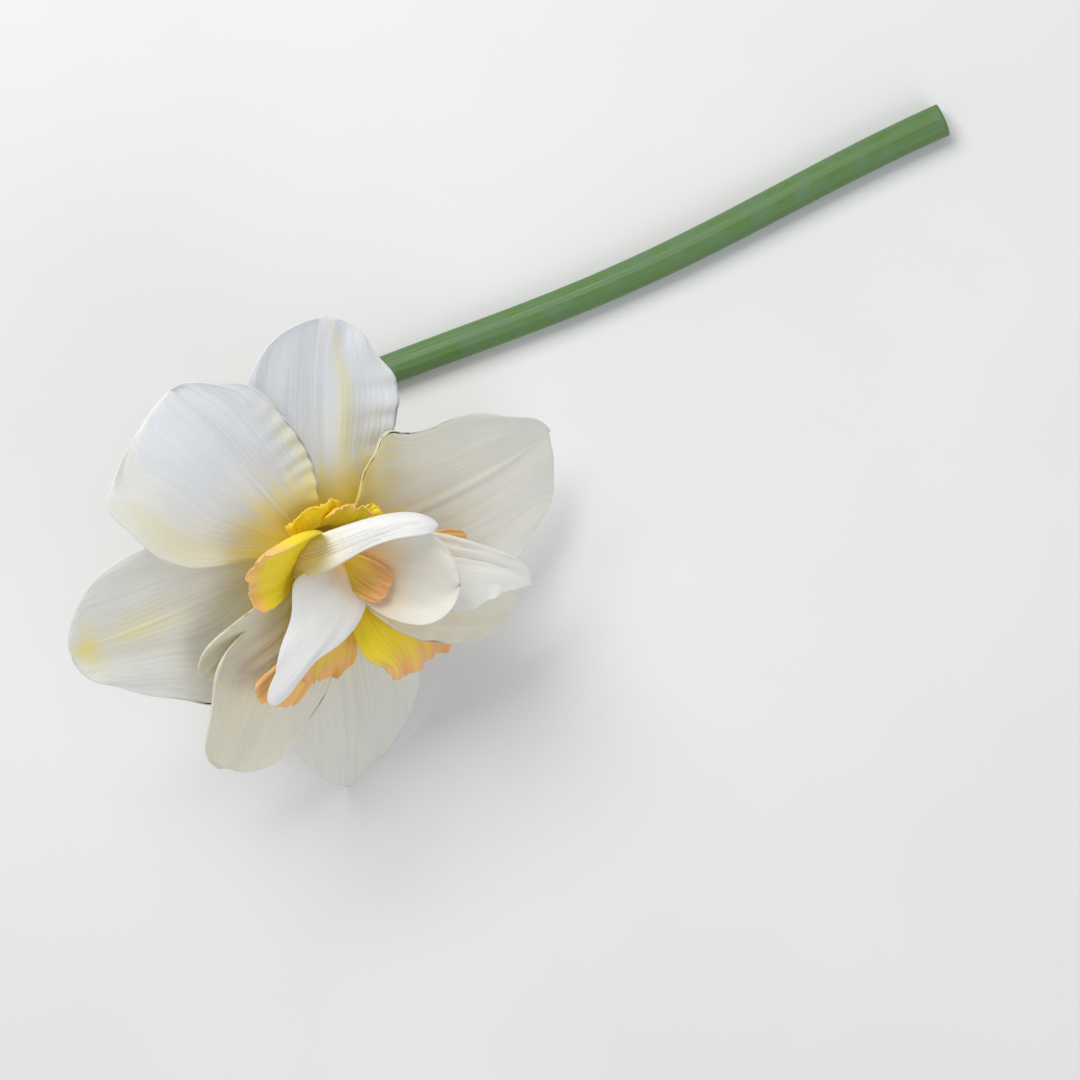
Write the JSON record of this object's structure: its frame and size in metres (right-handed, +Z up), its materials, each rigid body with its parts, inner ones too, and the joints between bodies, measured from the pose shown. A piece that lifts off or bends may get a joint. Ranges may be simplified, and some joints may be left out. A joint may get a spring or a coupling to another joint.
{
  "type": "daffodil flower",
  "caption": "Cut double daffodil lying on its stem: white tepals round a split yellow and salmon corona with white petaloids, on a floral tube, ovary, pedicel, papery spathe and scape.",
  "frame": {"origin": "middle of the flower's outline seen from above, on the table it lies on", "axes": "+X from the bloom along the stem to its cut end, +Y level across the stem, +Z up from the table"},
  "size_m": [0.1962, 0.0844, 0.0723],
  "materials": {
    "tepal_white": "soft matte white with fine veins and a yellow blush at the base",
    "corona_yellow": "satin yellow with a salmon margin",
    "corona_orange": "satin salmon orange with a pale frilled edge",
    "petaloid_cream": "soft matte white, cream to yellow at the base",
    "tube_green": "satin yellow-green with darker streaks",
    "ovary_green": "satin dark green with a grey bloom",
    "stem_green": "satin mid green, finely ribbed",
    "spathe_tan": "dry matte tan paper with brown veins"
  },
  "bodies": {
    "root": {"tepal_inner_1": "tepal_white", "tepal_inner_2": "tepal_white", "tepal_inner_3": "tepal_white", "tepal_outer_1": "tepal_white", "tepal_outer_2": "tepal_white", "tepal_outer_3": "tepal_white", "corona_lobe_1": "corona_yellow", "corona_lobe_2": "corona_yellow", "corona_lobe_3": "corona_yellow", "corona_lobe_4": "corona_yellow", "corona_lobe_6": "corona_yellow", "corona_lobe_5": "corona_orange", "corona_lobe_7": "corona_orange", "corona_lobe_8": "corona_orange", "corona_frill": "corona_orange", "petaloid_1": "petaloid_cream", "petaloid_2": "petaloid_cream", "petaloid_3": "petaloid_cream", "petaloid_4": "petaloid_cream", "petaloid_5": "petaloid_cream", "petaloid_6": "petaloid_cream", "floral_tube": "tube_green", "ovary": "ovary_green", "pedicel": "stem_green", "flower_stem": "stem_green", "spathe": "spathe_tan"}
  },
  "joints": []
}
